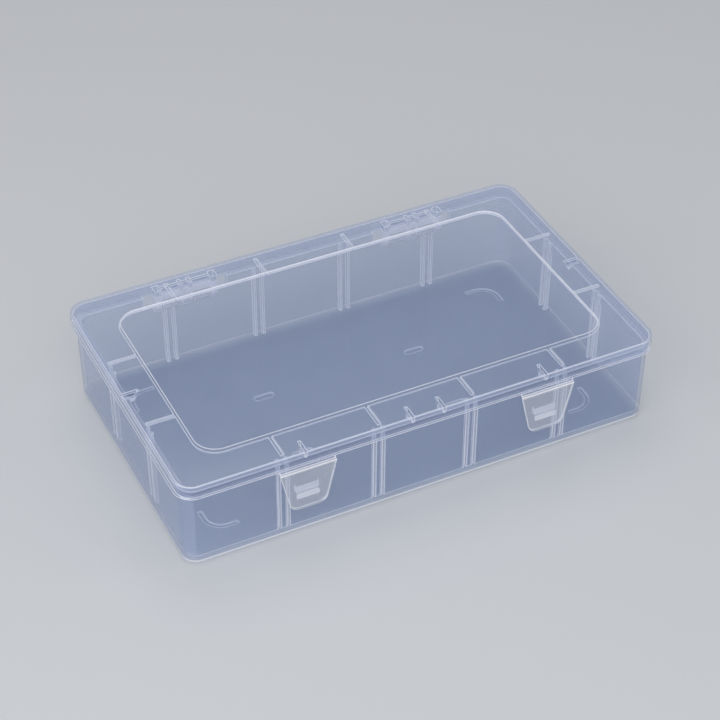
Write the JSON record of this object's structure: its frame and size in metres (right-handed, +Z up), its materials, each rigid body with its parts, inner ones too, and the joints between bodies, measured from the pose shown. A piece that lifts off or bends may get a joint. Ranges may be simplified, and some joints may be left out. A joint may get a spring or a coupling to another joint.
{
  "type": "compartment storage organizer",
  "caption": "Clear plastic storage box with a hinged lid that has a sunk stacking panel, front snap latches and slotted walls for dividers.",
  "frame": {"origin": "middle of the overall box, on the surface that the feet stand on", "axes": "+X along the long side, -Y towards the front with the latches, +Z up"},
  "size_m": [0.275, 0.1668, 0.055],
  "materials": {
    "tray_plastic": "smooth, translucent",
    "lid_plastic": "smooth, translucent",
    "latch_plastic": "smooth, translucent"
  },
  "bodies": {
    "base": {"base_tray": "tray_plastic"},
    "lid": {"lid": "lid_plastic"},
    "latch_left": {"latch_left": "latch_plastic"},
    "latch_right": {"latch_right": "latch_plastic"}
  },
  "joints": [
    {"name": "lid_hinge", "type": "hinge", "parent": "base", "child": "lid", "pos_m": [0, 0.07695, 0.042], "axis": [-1, 0, 0], "range_deg": [0, 105]},
    {"name": "latch_left_hinge", "type": "hinge", "parent": "lid", "child": "latch_left", "pos_m": [-0.069, -0.08265, 0.0446], "axis": [-1, 0, 0], "range_deg": [-3, 110]},
    {"name": "latch_right_hinge", "type": "hinge", "parent": "lid", "child": "latch_right", "pos_m": [0.069, -0.08265, 0.0446], "axis": [-1, 0, 0], "range_deg": [-3, 110]}
  ]
}
